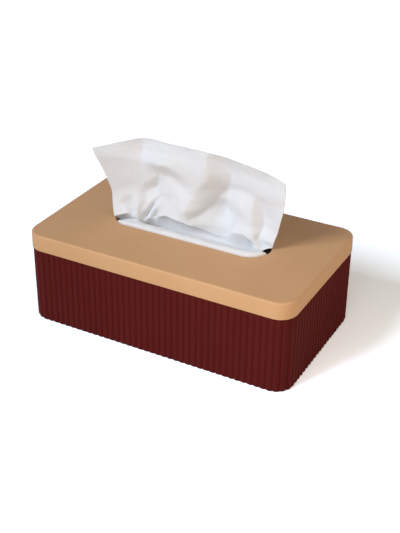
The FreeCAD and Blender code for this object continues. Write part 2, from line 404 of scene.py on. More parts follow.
@dataclass(frozen=True)
class CrepedPaper:
    """Creped soft paper, one ply of a facial tissue.

    It gives the eye a matt white that glows a little where light comes through, with the
    fine cross lines of the creping blade and soft unevenness where fibres clump.
    """

    name: str = "creped_tissue_paper"
    colour: str = "F3F7FC"
    clump_colour: str = "EBF0F6"
    light_through: str = "F6E8D6"
    share_through: float = 0.25
    roughness: float = 0.9
    sheen: float = 0.15
    specular: float = 0.2
    # Real crepe lines are near 0.3 mm apart; they are drawn at 1.1 mm so that they show
    crepe_spacing: float = 1.1
    crepe_length: float = 7.0
    crepe_depth: float = 0.035
    clump_spacing: float = 5.0
    clump_depth: float = 0.12
    # The plies are pressed together in fine lines along the edge that stands up
    crimp_spacing: float = 2.2
    crimp_from_edge: float = 4.8
    crimp_half_band: float = 3.3
    crimp_depth: float = 0.16

    def make(self) -> bpy.types.Material:
        """Builds the material. Its patterns follow the flat sheet.

        Returns:
            The material.
        """
        material, tree = new_tree(self.name)
        flat = add_node(tree, "UVMap", uv_map="Sheet").outputs["UV"]
        along = add_node(tree, "Mapping", {"Vector": flat, "Scale": (self.crepe_spacing / self.crepe_length, 1, 1)})
        lines = {"Vector": along, "Scale": per_metre(self.crepe_spacing), "Detail": 2.0}
        crepe = add_node(tree, "TexNoise", lines)
        clumps = add_node(tree, "TexNoise", {"Vector": flat, "Scale": per_metre(self.clump_spacing), "Detail": 4.0})
        # A wave node repeats every 2 pi / (20 x scale)
        waves = {"Vector": flat, "Scale": math.pi / 10 * per_metre(self.crimp_spacing)}
        wave = add_node(tree, "TexWave", waves, wave_type="BANDS", bands_direction="Y").outputs["Fac"]
        from_edge = add_node(tree, "SeparateXYZ", {"Vector": flat}).outputs["Y"]
        band = {0: from_edge, 1: self.crimp_from_edge * MM, 2: self.crimp_half_band * MM}
        near_edge = add_node(tree, "Math", band, operation="COMPARE")
        crimp = add_node(tree, "Math", {0: wave, 1: near_edge}, operation="MULTIPLY")
        reliefs = ((clumps, self.clump_depth), (crepe, self.crepe_depth), (crimp, self.crimp_depth))
        normal = {}
        for relief, depth in reliefs:
            bump = add_node(tree, "Bump", {"Height": relief, "Strength": 1.0, "Distance": depth * MM, **normal})
            normal = {"Normal": bump}
        tints = {0: clumps, 6: linear(self.colour), 7: linear(self.clump_colour)}
        colour = add_node(tree, "Mix", tints, data_type="RGBA").outputs[2]
        matt = {"Base Color": colour, "Roughness": self.roughness, "Sheen Weight": self.sheen, **normal}
        face = add_node(tree, "BsdfPrincipled", {**matt, "Specular IOR Level": self.specular})
        glow = add_node(tree, "BsdfTranslucent", {"Color": linear(self.light_through), **normal})
        both = add_node(tree, "MixShader", {0: self.share_through, 1: face, 2: glow})
        add_node(tree, "OutputMaterial", {"Surface": both})
        return material


@dataclass(frozen=True)
class PaintedFloor:
    """Matt white painted board. Seen straight it is brightened to white, and keeps its shadow."""

    name: str = "painted_floor"
    colour: str = "E9E8E7"
    seen_white: tuple[float, float, float] = (2.06, 2.26, 2.5)

    def make(self) -> bpy.types.Material:
        """Builds the material.

        Returns:
            The material.
        """
        material, tree = new_tree(self.name)
        board = add_node(tree, "BsdfDiffuse", {"Color": linear(self.colour)})
        white = add_node(tree, "BsdfDiffuse", {"Color": linear(WHITE)})
        mirrored = add_node(tree, "MixShader", {0: seen_rays(tree), 1: board, 2: white})
        bright = add_node(tree, "BsdfDiffuse", {"Color": (*self.seen_white, 1)})
        camera = add_node(tree, "LightPath").outputs["Is Camera Ray"]
        surface = add_node(tree, "MixShader", {0: camera, 1: mirrored, 2: bright})
        add_node(tree, "OutputMaterial", {"Surface": surface})
        return material


def seen_rays(tree: bpy.types.NodeTree) -> bpy.types.Node:
    """Picks out camera, glossy and transmission rays from those that light the object.

    Args:
        tree: the node tree of a material or the world.

    Returns:
        The node whose output is 1 for those three kinds of rays, and 0 for all others.
    """
    rays = add_node(tree, "LightPath").outputs
    either = add_node(tree, "Math", {0: rays["Is Camera Ray"], 1: rays["Is Glossy Ray"]}, operation="MAXIMUM")
    return add_node(tree, "Math", {0: either, 1: rays["Is Transmission Ray"]}, operation="MAXIMUM")


# A deep red-brown with hardly any sheen, so that the flutes show by their own shading
CASE_PLASTIC = MouldedPolymer("moulded_oxblood_plastic", "581C19", "511716", roughness=0.46, specular=0.03)
# A warm tan with a little more sheen, which lights its rounded top edge
LID_PLASTIC = MouldedPolymer("moulded_tan_plastic", "CFA276", "C79A6E", roughness=0.42, specular=0.15)
# Dark and dull, with dust in its fine grain
PAD_RUBBER = MouldedPolymer(
    "moulded_pad_rubber", "2B2827", "3A3634", roughness=0.75, specular=0.5, ior=1.5,
    roughness_spread=0.03, cloud_spacing=2.5, grain_spacing=0.6, grain_depth=0.03,
)


# ---- the box


@dataclass(frozen=True)
class BoxLevels:
    """Heights and outlines that the case, the lid and the tissues share."""

    lid_outline: Outline = Outline(120.0, 69.0, 15.0)
    lid_inner: Outline = Outline(118.0, 67.0, 13.0)
    slot: Outline = Outline(71.0, 17.5, 17.5)
    crest: Outline = Outline(119.7, 68.7, 15.5)
    neck: Outline = Outline(117.2, 66.2, 12.2)
    cavity: Outline = Outline(115.4, 64.4, 10.4)
    top: float = 81.5
    lid_bottom: float = 67.0
    plate_underside: float = 79.1
    case_bottom: float = 0.6
    floor_top: float = 3.2
    neck_top: float = 76.0


LEVELS = BoxLevels()
PAD_PLACES = {"front_left": (-103, -52), "front_right": (103, -52), "back_left": (-103, 52), "back_right": (103, 52)}


@dataclass
class FlutedCase:
    """The open case: convex upright flutes right round, a plain neck, floor and foot bosses."""

    flutes: int = 130
    flute_depth: float = 1.3
    samples_per_flute: int = 14
    foot_round: float = 0.95
    top_reveal: float = 0.45
    neck_lead_in: float = 0.6
    cavity_draft: float = 0.5
    floor_round: float = 2.0
    panel_margin: float = 6.0
    panel_sink: float = 0.8
    panel_chamfer: float = 0.25
    boss_inner: float = 6.65
    boss_outer: float = 8.45
    boss_chamfer: float = 0.2

    def flute_height(self, share: np.ndarray, step: float) -> np.ndarray:
        """How far the wall stands out from the valley line.

        Each flute is an arc of radius R = (h^2 + d^2) / 2d over a half width h with depth
        d, so at a distance x from its middle it stands sqrt(R^2 - x^2) - (R - d) high.

        Args:
            share: how far round the valley outline each point lies.
            step: the width of a flute along that outline.

        Returns:
            The height at each point.
        """
        turn = share * self.flutes
        aside = (turn - np.round(turn)) * step
        radius = ((step / 2) ** 2 + self.flute_depth**2) / (2 * self.flute_depth)
        return np.sqrt(radius**2 - aside**2) - (radius - self.flute_depth)

    def wall(self) -> np.ndarray:
        """The whole section as a stack of loops, from under the floor, out, up and back in.

        Returns:
            The loops, as rows by points by 3.
        """
        neck, cavity = LEVELS.neck, LEVELS.cavity
        valley = LEVELS.crest.inset(self.flute_depth)
        panel = valley.inset(self.panel_margin)
        count = self.flutes * self.samples_per_flute
        share = (np.arange(count) + 0.5) / count - 0.5 / self.flutes
        high = self.flute_height(share, valley.perimeter() / self.flutes)
        low, shoulder, rim = LEVELS.case_bottom, LEVELS.lid_bottom, LEVELS.neck_top
        foot, reveal, lead_in = low + self.foot_round, shoulder - self.top_reveal, rim - self.neck_lead_in
        floor, draft = LEVELS.floor_top + self.floor_round, self.cavity_draft
        return loops(
            share,
            (panel, HOLD, low + self.panel_sink),
            (panel, 0, low + self.panel_sink),
            (panel, 0, low + self.panel_chamfer),
            (panel, -self.panel_chamfer, low),
            *rounded((valley, -high, foot), self.foot_round, 7, up=-1)[::-1],
            (valley, -high, foot + HOLD),
            (valley, -high, reveal - HOLD),
            *rounded((valley, -high, reveal), self.top_reveal, 4),
            (neck, -CHAMFER, shoulder),
            (neck, 0, shoulder + CHAMFER),
            (neck, 0, lead_in - HOLD),
            *rounded((neck, 0, lead_in), self.neck_lead_in, 5),
            (cavity, -CHAMFER, rim),
            (cavity, 0, rim - CHAMFER),
            (cavity, draft, floor + HOLD),
            *rounded((cavity, draft, floor), self.floor_round, 7, up=-1),
            (cavity, draft + self.floor_round + HOLD, LEVELS.floor_top),
        )

    def bosses(self, shells: Shells) -> None:
        """Adds the four rings that stand out of the sunk panel, one round each pad.

        Args:
            shells: what they are added to.
        """
        inner, outer, soft = self.boss_inner, self.boss_outer, self.boss_chamfer
        low = LEVELS.case_bottom
        high = low + self.panel_sink + 0.1
        foot = [[inner, low + soft], [inner + soft, low], [outer - soft, low], [outer, low + soft]]
        for place in PAD_PLACES.values():
            shells.add(lathe(np.array([*foot, [outer, high], [inner, high]]), place, 64), wrap_rows=True)

    def build(self) -> None:
        """Makes and dresses the case."""
        shells = Shells()
        shells.add(self.wall(), caps=True)
        self.bosses(shells)
        case = shells.make("fluted_case_shell", sharp_deg=35)
        fit_out(case, "box", "case_plastic", CASE_PLASTIC.make(), "fluted_case")


@dataclass
class Lid:
    """The lid: smooth drafted skirt, softly rounded top edge, slot with a collar, and ribs."""

    points_round: int = 720
    draft_deg: float = 1.0
    edge_round: float = 1.7
    inner_round: float = 1.0
    slot_edge_round: float = 0.9
    collar_wall: float = 1.6
    collar_drop: float = 3.0
    collar_fillet: float = 0.5
    rib_radius: float = 1.0
    rib_proud: float = 0.5
    rib_lead_in: float = 1.5
    rib_spacing: float = 64.0
    # The share of the radius, and how high above the rib's foot
    rib_tip: Points = ((0.45, 0), (0.85, 0.25), (1, 0.8))
    # The chamfer along the skirt's foot: how far in, and how high
    skirt_foot: Points = ((0.4, 0), (0.06, 0.4), (0.02, 0.7))

    def skin(self) -> np.ndarray:
        """The closed section as loops: up the skirt, over the top, down the slot, and back.

        Returns:
            The loops, as rows by points by 3. The last joins the first.
        """
        outer, slot, inner = LEVELS.lid_outline, LEVELS.slot, LEVELS.lid_inner
        share = np.arange(self.points_round) / self.points_round
        low, top, under = LEVELS.lid_bottom, LEVELS.top, LEVELS.plate_underside
        slope = math.tan(math.radians(self.draft_deg))
        shoulder, brink, crease = top - self.edge_round, top - self.slot_edge_round, under - self.inner_round
        drafted = (shoulder - low) * slope
        foot, wall = under - self.collar_drop, self.collar_wall
        return loops(
            share,
            *((outer, aside, low + rise) for aside, rise in self.skirt_foot),
            (outer, drafted - HOLD * slope, shoulder - HOLD),
            *rounded((outer, drafted, shoulder), self.edge_round, 13),
            (outer, drafted + self.edge_round + HOLD, top),
            (slot, -self.slot_edge_round - HOLD, top),
            *rounded((slot, 0, brink), self.slot_edge_round, 8, inwards=-1)[::-1],
            (slot, 0, brink - HOLD),
            (slot, 0, foot + CHAMFER),
            (slot, -CHAMFER, foot),
            (slot, CHAMFER - wall, foot),
            (slot, -wall, foot + CHAMFER),
            (slot, -wall, under - self.collar_fillet),
            (slot, -wall - self.collar_fillet, under),
            (inner, self.inner_round + HOLD, under),
            *rounded((inner, 0, crease), self.inner_round, 6)[::-1],
            (inner, 0, low + HOLD),
            (inner, -CHAMFER, low),
        )

    def ribs(self, shells: Shells) -> None:
        """Adds the round ribs that centre the lid, three on a long side and two on a short.

        Args:
            shells: what they are added to.
        """
        inner, step = LEVELS.lid_inner, self.rib_spacing
        across = inner.half_x + self.rib_radius - self.rib_proud
        deep = inner.half_y + self.rib_radius - self.rib_proud
        places = [(x, y) for x in (-step, 0, step) for y in (-deep, deep)]
        places += [(x, y) for x in (-across, across) for y in (-step / 2, step / 2)]
        low = LEVELS.lid_bottom + self.rib_lead_in
        profile = [[share * self.rib_radius, low + rise] for share, rise in self.rib_tip]
        profile = np.array([*profile, [self.rib_radius, LEVELS.plate_underside + 0.2]])
        for place in places:
            shells.add(lathe(profile, place, 24), caps=True)

    def build(self) -> None:
        """Makes and dresses the lid."""
        shells = Shells()
        shells.add(self.skin(), wrap_rows=True)
        self.ribs(shells)
        fit_out(shells.make("lid_shell", sharp_deg=35), "lid", "lid_plastic", LID_PLASTIC.make(), "lid")


@dataclass
class FootPads:
    """Four round non-slip pads with a soft edge and one shallow ring pressed into each."""

    radius: float = 6.5
    top: float = 1.38
    edge: float = 0.35
    groove_at: float = 4.4
    groove_half: float = 0.55
    groove_depth: float = 0.25

    def profile(self) -> np.ndarray:
        """The half section of a pad.

        Returns:
            (radius, z) rows, from the middle of its foot out and up to the middle of its top.
        """
        at, half, deep = self.groove_at, self.groove_half, self.groove_depth
        foot = [[0.2, 0], [at - half, 0], [at - half / 2, deep], [at + half / 2, deep], [at + half, 0]]
        turn = rounded_edge(self.edge, 6)[::-1]
        side = np.column_stack([self.radius - turn[:, 0], self.edge - turn[:, 1]])
        cap = [[self.radius, self.top - 0.1], [self.radius - 0.1, self.top], [0.2, self.top]]
        return np.concatenate([foot, side, cap])

    def build(self) -> None:
        """Makes and dresses the pads."""
        material = PAD_RUBBER.make()
        for name, place in PAD_PLACES.items():
            shells = Shells()
            shells.add(lathe(self.profile(), place, 72), caps=True)
            fit_out(shells.make("pad_" + name), "box", "pad_rubber", material, "foot_pad_" + name)


# ---- the tissues


FLAT_WIDTH = 190.0
FLAT_LENGTH = 195.0


def sheet_object(name: str, grid: np.ndarray, thickness: float) -> bpy.types.Object:
    """Makes a thin sheet from a grid whose columns run to the right and rows run down.

    Args:
        name: the piece's name.
        grid: points, as rows by columns by 3.
        thickness: of the paper.

    Returns:
        The sheet, with its flat places as its UV map and a Solidify modifier.
    """
    down = np.linalg.norm(np.diff(grid, axis=0), axis=2).mean(axis=1)
    flat_v = np.concatenate([[0], np.cumsum(down)]) * FLAT_LENGTH / down.sum()
    flat_u = np.linspace(0, FLAT_WIDTH, grid.shape[1])
    flat = np.stack(np.broadcast_arrays(flat_u[None, :], flat_v[:, None]), axis=-1)
    shells = Shells()
    shells.add(grid[::-1], wrap_columns=False)
    sheet = shells.make(name, sharp_deg=180, flat=flat[::-1])
    solid = sheet.modifiers.new("Paper thickness", "SOLIDIFY")
    solid.thickness = thickness * MM
    solid.offset = 0
    return sheet


@dataclass
class TissueStack:
    """The folded tissues left in the case: a block of leaf edges, and the next sheet on it."""

    half_x: float = 95.4
    half_y: float = 48.9
    corner: float = 4.0
    leaves: int = 34
    leaf_relief: float = 0.5
    # Where a leaf's loops lie over half its thickness, and the least and most that it lies in
    leaf_steps: tuple[float, ...] = (-0.98, -0.75, 0, 0.75, 0.98)
    leaf_inset: tuple[float, float] = (0.1, 0.6)
    points_round: int = 260
    block_top: float = 53.9
    sheet_low: float = 54.4
    sheet_rise: float = 1.2
    sheet_front: float = -47.7
    sheet_back: float = 47.5
    sheet_half: float = 94.8
    # The paper's unevenness, as height, wavelength and number of waves
    leaf_waves: tuple[float, float, int] = (0.25, 60, 5)
    sheet_waves: tuple[float, float, int] = (0.22, 42, 9)
    thickness: float = 0.12
    seed: int = 7

    def block(self) -> np.ndarray:
        """The leaf edges as loops. Each leaf's edge is a half round, so its outline moves in
        by relief times (1 - sqrt(1 - t^2)) where t runs from -1 to 1 over its thickness,
        and by a random offset of its own.

        Returns:
            The loops, as rows by points by 3.
        """
        outline = Outline(self.half_x, self.half_y, self.corner)
        share = np.arange(self.points_round) / self.points_round
        chance = np.random.default_rng(self.seed)
        low = LEVELS.floor_top + 0.05
        thick = (self.block_top - low) / self.leaves
        sections = [(outline, 3.0, low)]
        place, _ = outline.at(share)
        for leaf in range(self.leaves):
            offset = chance.uniform(*self.leaf_inset)
            wave = self.leaf_waves[0] * ripples(place, *self.leaf_waves[1:], self.seed + leaf)
            for t in self.leaf_steps:
                inset = offset + self.leaf_relief * (1 - math.sqrt(1 - t * t)) + np.abs(wave)
                sections.append((outline, inset, low + (leaf + 0.5 + t / 2) * thick))
        return loops(share, *sections, (outline, 2.0, self.block_top), (outline, 12.0, self.block_top))

    def next_sheet(self) -> np.ndarray:
        """The next tissue, folded in half: back to front underneath, then back over itself.

        Its section runs level at the lower height, turns up round the front fold and runs
        back at the upper height, with a low swell in the middle where it was drawn up.

        Returns:
            The grid of points.
        """
        low, rise, front, back = self.sheet_low, self.sheet_rise, self.sheet_front, self.sheet_back
        control = [[y, low] for y in (back, back / 2, 0, front / 2, front + 2)]
        control += [[front, low + 0.1 * rise], [front - 0.4, low + 0.5 * rise], [front, low + 0.9 * rise]]
        control += [[y, low + rise] for y in (front + 2, front / 2, 0, back / 2, back - 3)]
        section = spline_rows(np.array(control), 150)
        x = np.linspace(-self.sheet_half, self.sheet_half, 180)
        across, y, z = np.broadcast_arrays(x, section[:, :1], section[:, 1:])
        upper = ease(z, low + 0.7 * rise, low + rise)
        wave = self.sheet_waves[0] * ripples(np.stack([across, y], axis=-1), *self.sheet_waves[1:], self.seed)
        return np.stack([across, y, z + wave * upper], axis=-1)

    def build(self) -> None:
        """Makes and dresses the stack and the next sheet."""
        shells = Shells()
        grid = self.block()
        shells.add(grid, caps=True)
        along = np.stack([grid[..., 0] + grid[..., 1], grid[..., 2]], axis=-1)
        block = shells.make("folded_tissues", sharp_deg=60, flat=along)
        material = CrepedPaper().make()
        fit_out(block, "box", "tissue_paper", material, "tissue_stack")
        sheet = sheet_object("next_tissue", self.next_sheet(), self.thickness)
        fit_out(sheet, "box", "tissue_paper", material, "tissue_stack")


class FoldKind(Enum):
    """Which way a fold of the standing tissue goes: towards the front, or away from it."""

    RIDGE = 1
    VALLEY = -1


@dataclass(frozen=True)
class Fold:
    """A fold along a line in the front view, as (x, z) points.

    An upright line is given from its top down and a level one from left to right. The low
    side is the one with lower x for an upright line, and with lower z for a level one.
    Height and widths are given as values evenly spread along the line.
    """

    kind: FoldKind
    line: Points
    height: tuple[float, ...]
    low_side: tuple[float, ...]
    high_side: tuple[float, ...]
    crease: float = 1.0
    shoulder: float = 0.3

    def lift(self, x: np.ndarray, z: np.ndarray) -> np.ndarray:
        """How far the fold brings each point of the tissue forward.

        Its section is a tent: height times (1 - t), and none where t is over 1. Here t is
        the distance across the line over the width on that side. The crease is rounded by
        sqrt(d^2 + c^2) - c, and the shoulders by (u + sqrt(u^2 + s^2)) / 2 with u = 1 - t.

        Args:
            x: how far to the right each point is.
            z: how high it is.

        Returns:
            The lift at each point.
        """
        line = through(self.line, np.linspace(0, 1, 41))
        span = np.abs(line[-1] - line[0])
        level = span[0] > span[1]
        run, side, sign = (x, z, 1) if level else (z, x, -1)
        line_run, line_side = (line if level else line[:, ::-1]).T
        order = np.argsort(line_run)
        middle = np.interp(run, line_run[order], line_side[order])
        slope = np.interp(run, line_run[order], np.gradient(line_side[order], line_run[order]))
        across = (side - middle) / np.sqrt(1 + slope**2)
        along = sign * (run - line_run[0]) / np.ptp(line_run)
        width = np.where(across < 0, spread(self.low_side, along), spread(self.high_side, along))
        inside = 1 - (np.sqrt(across**2 + self.crease**2) - self.crease) / width
        tent = 0.5 * (inside + np.sqrt(inside**2 + self.shoulder**2))
        return self.kind.value * spread(self.height, along) * tent


@dataclass(frozen=True)
class Swell:
    """A rounded swelling of the fan: a bell exp(-(r^2)^firm) over a turned ellipse about x + i z."""

    middle: complex
    half: tuple[float, float]
    height: float
    turn_deg: float
    firm: float

    def lift(self, x: np.ndarray, z: np.ndarray) -> np.ndarray:
        """How far the swelling brings each point (x, z) of the tissue forward."""
        aside = (x + 1j * z - self.middle) * np.exp(-1j * math.radians(self.turn_deg))
        return self.height * np.exp(-np.hypot(aside.real / self.half[0], aside.imag / self.half[1]) ** (2 * self.firm))


R, V = FoldKind.RIDGE, FoldKind.VALLEY
FAN_FOLDS = (
    # The long trough from below the top edge to the foot: a dark flank, then a long rise
    Fold(
        V, (
            (22.8, 156), (23.2, 150), (26.8, 143), (29.6, 136), (29.2, 130), (26.5, 123.5), (22, 117.5),
            (17.4, 111.5), (13, 105.2), (8.6, 99), (1.5, 92.8), (-6, 86.5),
        ),
        (2.5, 5.5, 7.6, 8.2, 8.6, 9.2, 9.6, 9, 6, 2.5), (8.5, 11, 15.5, 16.5, 16, 13.5, 9, 5),
        (40, 44, 46, 46, 52, 56, 50), 0.8, 0.12,
    ),
    # Fullness between its two branches, which leans over the foot
    Fold(
        R, ((-14, 89), (-5, 95), (2, 100.5), (9, 105), (16, 108), (24, 107.5)),
        (0, 1.4, 3.4, 5.4, 6.2, 5, 2.4, 0), (6, 10, 15, 17, 14, 8), (26, 34, 40, 40, 34), 0.8, 0.25,
    ),
    # Its second branch, under the swelling
    Fold(
        V, ((13, 112), (16.5, 108.5), (21, 104), (25.6, 98.5), (28.6, 92.5), (29.6, 87), (29, 81)),
        (0.3, 3, 5.4, 6.4, 5.6, 4), (8, 12, 16, 18, 20), (16, 20, 20, 18, 16), 1.2, 0.2,
    ),
    # The kink where the left flap turns forward, and the bright side right of it
    Fold(
        V, ((-45.5, 160), (-46.2, 150), (-47.4, 142), (-48, 134)),
        (2.4, 5, 4, 0), (18, 18, 12), (42, 42, 14), 0.7, 0.2,
    ),
    # The ledge: bright above, dark underneath
    Fold(
        R, (
            (-48, 138), (-41, 137.5), (-35, 137.5), (-27, 137.5), (-20.5, 136.5), (-14, 133.5), (-6, 130),
            (4, 127),
        ),
        (0.8, 3.6, 5.4, 5.8, 4.8, 3, 1.4, 0), (7, 10, 11, 10, 10, 13, 17, 20), (14, 18, 22, 24, 24, 22), 0.5,
        0.2,
    ),
    # The bright three-cornered face that leans left, and its crest
    Fold(
        R, ((-28, 125), (-24, 121), (-19.5, 116), (-15.5, 112), (-11, 108), (-6.5, 100), (-4.5, 91)),
        (0.4, 2.2, 3.6, 4, 3.2), (3, 8, 13, 19, 24), (4, 8, 11, 11, 8), 0.35, 0.2,
    ),
    # The swelling's upper edge at the right
    Fold(
        V, ((15, 107), (19, 113.5), (27, 119.5), (35.6, 122.5), (43.4, 124), (52, 124)),
        (0.3, 1.6, 2.4, 2.2, 0.3), (9, 12, 14, 12), (4, 5, 6, 4), 0.8, 0.3,
    ),
    # The lens-shaped dimple by the right edge
    Fold(
        V, (
            (50, 127), (53.5, 122.5), (57, 115.6), (59.5, 107.2), (60.5, 100), (59.2, 93), (57.8, 87.5),
            (60.6, 83.4), (64.5, 79),
        ),
        (0.2, 2.6, 5.2, 5.6, 4.2, 3.6), (2, 4.5, 8, 8.5, 3.2, 2.5), (7, 14, 18, 17, 11, 8), 0.5, 0.12,
    ),
    # Gathers at the left of the foot: a deep dark crease, a thin ridge and a second crease
    Fold(
        V, ((-28.5, 110), (-31.5, 105), (-36.8, 98), (-41.8, 89.5), (-45.6, 82), (-47.3, 75)),
        (0, 2.4, 4.4, 5.8, 6.4), (2.4, 2.8, 3.4), (2.2, 2.6, 2.6), 0.25, 0.12,
    ),
    Fold(
        V, ((-30.5, 97), (-33.6, 91), (-35.9, 85.5), (-36.2, 80), (-35.6, 74)),
        (0, 3.4, 6.4, 7), (3, 5, 6), (5, 6, 6), 0.5, 0.15,
    ),
    # The short crease above them, shaded on its upper side
    Fold(
        V, ((-50, 104.5), (-46, 106.5), (-39.8, 109.6), (-34.5, 113.8), (-30.5, 120.5)),
        (0.3, 2.8, 4.4, 4.2, 0.4), (15, 17, 8), (7, 8, 5), 0.5, 0.15,
    ),
    # Small creases low on the flap
    Fold(
        V, ((-68, 93), (-63, 93.5), (-58.5, 91.5), (-55, 88), (-50, 82)),
        (0, 2.6, 4.4, 3.6, 0), (3, 3, 3), (5, 8, 8), 0.35, 0.15,
    ),
    Fold(R, ((-45, 106), (-48, 99), (-51, 91), (-53, 80)), (0, 0.9, 1.4, 1.6), (6, 5, 4), (3, 3, 3), 0.6, 0.25),
    Fold(V, ((-52, 97), (-54, 90), (-55.5, 80)), (0, 1.6, 1.8), (2.4, 2.4), (2, 2), 0.3, 0.2),
    Fold(V, ((-21, 97), (-24, 91), (-26, 80)), (0, 1.2, 1.6), (3, 3), (5, 5), 0.6, 0.25),
)
FAN_SWELLS = (
    # The bright swelling at the right, fullest low down
    Swell(43 + 101j, (16, 19), 2.6, 12, 1.3),
)


@dataclass
class StandingTissue:
    """The top tissue: a tall fan, a hollow, a roll along the slot, and its tail in the box."""

    columns: int = 210
    rows: int = 205
    ply_gap: float = 0.3
    thickness: float = 0.1
    # How far the front ply's upper edge is drawn down, over how many rows and from which x to which
    front_ply_drop: float = 0.9
    drop_rows: int = 16
    drop_range: tuple[float, float] = (12, 60)
    fan_rows: int = 12
    top_edge: Points = (
        (-85, -16, 144.3), (-79.2, -13.6, 146.1), (-72.7, -11, 148), (-64.9, -8, 150.3),
        (-57.8, -5.2, 152.2), (-52, -3, 153.4), (-45.1, -1.4, 154.3), (-36.2, -0.6, 155.2),
        (-24.1, 0, 155.3), (3.2, 0, 155.3), (13, 0, 155), (22, 0, 153.2), (31, 0, 152.2),
        (46.5, 0, 150.7), (62.5, 0, 148.9), (81, 0, 143.5),
    )
    left_edge: Points = (
        (-85, -16, 144.3), (-81.4, -14, 133.9), (-76.8, -8, 115.7), (-74.4, -6, 105.4),
        (-72.8, -7.2, 90.7), (-70, -9.4, 82.5),
    )
    right_edge: Points = (
        (81, 0, 143.5), (81.7, 0.4, 133.9), (80.4, 0.8, 121.9), (77.1, 1.5, 106.2), (71.4, 2.2, 83.4),
    )
    foot: Points = (
        (-70, -9.4, 82.5), (-63.7, -8.4, 85.2), (-53.5, -6, 87.8), (-48.8, -5, 86.8),
        (-45.3, -3.5, 84.2), (-36.5, -3, 85.2), (-30, -2.4, 88.6), (-25, -2.2, 90.2),
        (-17, -2, 90.2), (-3.4, 0.6, 87), (5, 4, 83.2), (11.2, 6, 80.6), (17.4, 6.6, 79),
        (24, 6.2, 79.4), (30, 4.2, 83), (35.1, 1, 88.4), (44, 2, 89.4), (51.8, 3, 85.6),
        (55.8, 3.4, 82.4), (60.3, 3, 81.8), (71.4, 2.2, 83.4),
    )
    # How far across the left end fades out, the right end sets in and the fan starts to overhang
    left_end: tuple[float, float] = (0.04, 0.15)
    right_end: tuple[float, float] = (0.87, 0.96)
    overhang_start: tuple[float, float] = (0.14, 0.22)
    # How far the hollow's first two rows lie from the foot: everywhere, where the fan overhangs,
    # where that hides them, at the left end and at the right end. The deep row stops at deep_back
    under_shifts: Points = ((0, -1, -2.4), (0, 4.2, -0.8), (0, 1.6, 0), (3, 1.4, -0.2), (-9, 0, -0.6))
    deep_shifts: Points = ((0, 0, 0), (0, 9.5, 0), (0, 0, 0), (6, -1.6, 0), (-15, -1.5, 0))
    deep_back: float = 10.0
    # Heights in the middle, and what the left end and the right end add
    deep_heights: tuple[float, ...] = (71.8, -4.6, -5.6)
    front_heights: tuple[float, ...] = (72.2, -3.2, -4.2)
    front_inset: float = 9.4
    front_shifts: tuple[float, ...] = (0, 3, -13)
    sag: float = 0.4
    # The roll's section: how far inside the slot, its height, how much more between its ends,
    # and how much more where it meets the hem at the left
    roll: Points = (
        (9.2, 77, 2.3, 4.6), (8, 79, 3.9, 2.4), (5.2, 79.8, 4.5, 0.6), (2.4, 80, 4.5, 0),
        (0.1, 80, 3.8, 0), (-0.3, 80, 2.4, 0),
    )
    tail_half: float = 64.0
    tail_gathers: float = 9.5
    # The tail's folds in the box, as (y, z)
    tail: Points = (
        (-15, 67), (-14.2, 60), (-12.2, 57.2), (-10.2, 58.5), (-9.4, 64), (-8.8, 68.6), (-7.2, 70.2),
        (-5.4, 68.6), (-4.8, 64), (-4.2, 59), (-2.4, 57.2), (-0.4, 59), (0.2, 64), (0.8, 68.4), (2.4, 69.8),
        (4.2, 68.2), (4.8, 64), (5, 58.2),
    )
    # Where the rows under the fan start and end, as shares of the slot's outline from its front
    roll_left: float = -0.197
    roll_right: float = 0.233
    # The paper's unevenness, as height, wavelength, number of waves and seed
    fan_waves: tuple[tuple[float, float, int, int], ...] = ((0.4, 30, 9, 3), (0.08, 10, 14, 4))
    roll_waves: tuple[float, float, int, int] = (0.22, 9, 12, 5)

    def fan(self, share: np.ndarray) -> np.ndarray:
        """The fan without its folds, between its four edges.

        It is a Coons patch: the surface ruled from top to foot, plus the one ruled from
        left to right, less the bilinear one through the corners.

        Args:
            share: how far across each column lies.

        Returns:
            The grid of points, top row first.
        """
        down = np.linspace(0, 1, self.fan_rows)
        top, foot = (through(edge, share)[None] for edge in (self.top_edge, self.foot))
        left, right = (through(edge, down)[:, None] for edge in (self.left_edge, self.right_edge))
        a = share[None, :, None]
        b = down[:, None, None]
        corners = (1 - b) * ((1 - a) * top[:, :1] + a * top[:, -1:]) + b * ((1 - a) * foot[:, :1] + a * foot[:, -1:])
        return (1 - b) * top + b * foot + (1 - a) * left + a * right - corners

    def along_slot(self, share: np.ndarray, inset: float, z: np.ndarray | float) -> np.ndarray:
        """A row that follows the front of the slot from left to right, this far inside it."""
        place, _ = LEVELS.slot.inset(inset).at(self.roll_left + (self.roll_right - self.roll_left) * share)
        return np.column_stack([place, np.broadcast_to(z, share.shape)])

